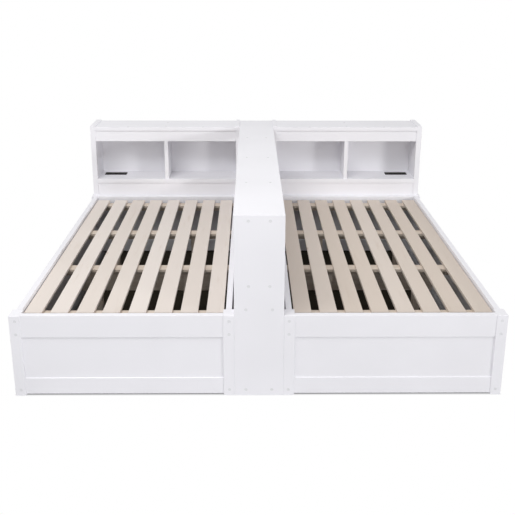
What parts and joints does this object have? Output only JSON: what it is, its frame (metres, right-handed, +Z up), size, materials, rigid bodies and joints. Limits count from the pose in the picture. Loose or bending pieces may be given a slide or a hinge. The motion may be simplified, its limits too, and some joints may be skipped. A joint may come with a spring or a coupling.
{
  "type": "double twin storage bed",
  "caption": "Twin platform beds joined by a tall open console, with slatted decks, panelled foot and sides, and bookcase headboards with built-in power outlets.",
  "frame": {"origin": "on the floor at the centre of the whole object's footprint", "axes": "+X to the right seen from the foot end, across both beds; +Y from the foot to the headboards; +Z up"},
  "size_m": [2.452, 2.235, 0.968],
  "materials": {
    "painted_wood": "smooth satin white paint on solid wood and board",
    "bare_slat_wood": "planed, unfinished pale softwood",
    "bare_frame_wood": "planed, unfinished pale softwood",
    "black_plastic": "fine-textured black plastic",
    "fastener_steel": "zinc-plated steel",
    "cap_plastic": "satin off-white plastic"
  },
  "bodies": {
    "root": {"bolts_and_barrel_nuts": "fastener_steel", "console_base_frame": "painted_wood", "console_front_panel": "painted_wood", "console_partitions": "painted_wood", "console_rear_panel": "painted_wood", "console_runners": "painted_wood", "console_shelf": "painted_wood", "console_side_panels": "painted_wood", "console_top": "painted_wood", "left_bookcase_apron": "painted_wood", "left_bookcase_back": "painted_wood", "left_bookcase_divider": "painted_wood", "left_bookcase_fascia": "painted_wood", "left_bookcase_inner_side": "painted_wood", "left_bookcase_outer_side": "painted_wood", "left_bookcase_shelf": "painted_wood", "left_bookcase_top": "painted_wood", "left_cross_bearers": "bare_frame_wood", "left_foot_base_rail": "painted_wood", "left_foot_panel": "painted_wood", "left_foot_post_inner": "painted_wood", "left_foot_post_outer": "painted_wood", "left_foot_top_rail": "painted_wood", "left_head_base_rail": "painted_wood", "left_head_panel": "painted_wood", "left_head_post_inner": "painted_wood", "left_head_post_outer": "painted_wood", "left_head_top_rail": "painted_wood", "left_inner_side_rails": "painted_wood", "left_outer_base_rail": "painted_wood", "left_outer_side_panel": "painted_wood", "left_outer_side_rail": "painted_wood", "left_power_module": "black_plastic", "left_slats": "bare_slat_wood", "right_bookcase_apron": "painted_wood", "right_bookcase_back": "painted_wood", "right_bookcase_divider": "painted_wood", "right_bookcase_fascia": "painted_wood", "right_bookcase_inner_side": "painted_wood", "right_bookcase_outer_side": "painted_wood", "right_bookcase_shelf": "painted_wood", "right_bookcase_top": "painted_wood", "right_cross_bearers": "bare_frame_wood", "right_foot_base_rail": "painted_wood", "right_foot_panel": "painted_wood", "right_foot_post_inner": "painted_wood", "right_foot_post_outer": "painted_wood", "right_foot_top_rail": "painted_wood", "right_head_base_rail": "painted_wood", "right_head_panel": "painted_wood", "right_head_post_inner": "painted_wood", "right_head_post_outer": "painted_wood", "right_head_top_rail": "painted_wood", "right_inner_side_rails": "painted_wood", "right_outer_base_rail": "painted_wood", "right_outer_side_panel": "painted_wood", "right_outer_side_rail": "painted_wood", "right_power_module": "black_plastic", "right_slats": "bare_slat_wood", "screw_caps": "cap_plastic"}
  },
  "joints": []
}
